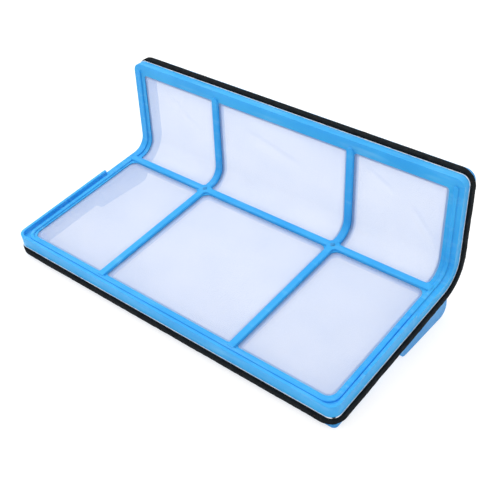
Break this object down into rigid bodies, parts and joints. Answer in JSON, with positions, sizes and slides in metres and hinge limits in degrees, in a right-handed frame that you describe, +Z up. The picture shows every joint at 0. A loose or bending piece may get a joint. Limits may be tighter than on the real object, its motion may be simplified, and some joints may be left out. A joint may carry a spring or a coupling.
{
  "type": "robot vacuum dust bin mesh pre-filter",
  "caption": "L-shaped mesh pre-filter: plastic frame with mesh windows on a sloping floor and an upright wall, edged by a foam seal in a groove.",
  "frame": {"origin": "centre of the bounding box in plan, on the surface that the filter stands on", "axes": "+X along the filter (left to right seen from the dust side), +Y from the front edge towards the wall, +Z up"},
  "size_m": [0.1416, 0.0738, 0.0516],
  "materials": {
    "front_frame": "satin moulded light-blue plastic",
    "rear_frame": "satin moulded light-blue plastic",
    "mesh": "fine white woven nylon mesh, slightly see-through",
    "seal_strip": "matt black closed-cell foam",
    "seal_tape": "thin translucent double-sided adhesive tape"
  },
  "bodies": {
    "root": {"front_frame": "front_frame", "rear_frame": "rear_frame", "floor_mesh": "mesh", "wall_mesh": "mesh", "seal_strip": "seal_strip", "seal_tape": "seal_tape"}
  },
  "joints": []
}
